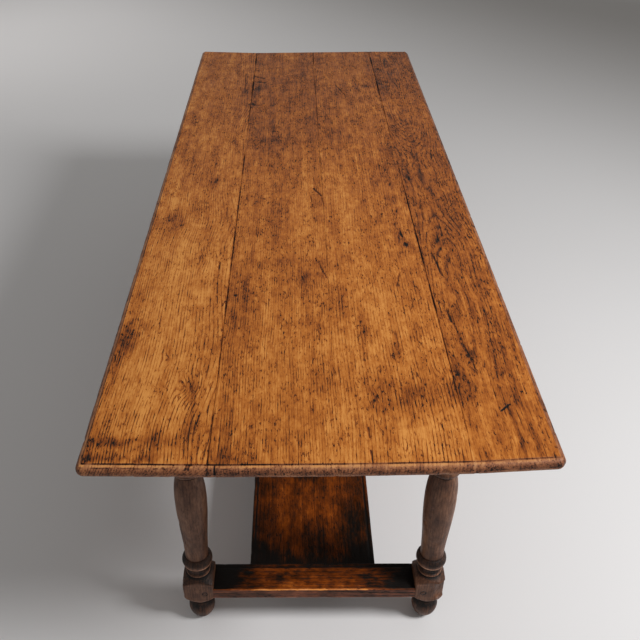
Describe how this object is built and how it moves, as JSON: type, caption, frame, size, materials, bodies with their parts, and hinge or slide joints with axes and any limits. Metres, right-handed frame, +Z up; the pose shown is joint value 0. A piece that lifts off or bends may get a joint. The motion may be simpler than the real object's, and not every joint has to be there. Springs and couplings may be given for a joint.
{
  "type": "trestle table",
  "caption": "Long oak dining table: a plank top with a moulded edge on turned legs, tied low down by end stretchers and a broad foot board.",
  "frame": {"origin": "on the floor, under the middle of the top", "axes": "+Z up, Y along the table's length with -Y the end nearest the picture's viewer, +X to that viewer's right"},
  "size_m": [0.8, 2.2204, 0.751],
  "materials": {
    "oak_top": "old waxed oak, honey brown, worn and stained",
    "oak_legs": "dark grey-brown waxed oak",
    "oak_stretchers": "dark oak worn warm brown by feet",
    "oak_board": "dark red-brown waxed oak",
    "oak_frame": "dry unpolished oak",
    "oak_pegs": "dark end grain",
    "iron": "dull black iron"
  },
  "bodies": {
    "root": {"left_plank": "oak_top", "left_middle_plank": "oak_top", "right_middle_plank": "oak_top", "right_plank": "oak_top", "left_joint_tongues": "oak_frame", "middle_joint_tongues": "oak_frame", "right_joint_tongues": "oak_frame", "front_left_leg": "oak_legs", "front_right_leg": "oak_legs", "back_left_leg": "oak_legs", "back_right_leg": "oak_legs", "front_apron": "oak_frame", "right_apron": "oak_frame", "back_apron": "oak_frame", "left_apron": "oak_frame", "front_apron_pegs": "oak_pegs", "right_apron_pegs": "oak_pegs", "back_apron_pegs": "oak_pegs", "left_apron_pegs": "oak_pegs", "front_buttons": "oak_frame", "right_buttons": "oak_frame", "back_buttons": "oak_frame", "left_buttons": "oak_frame", "button_screws": "iron", "front_stretcher": "oak_stretchers", "back_stretcher": "oak_stretchers", "front_stretcher_pegs": "oak_pegs", "back_stretcher_pegs": "oak_pegs", "foot_board": "oak_board", "front_board_pegs": "oak_pegs", "back_board_pegs": "oak_pegs"}
  },
  "joints": []
}
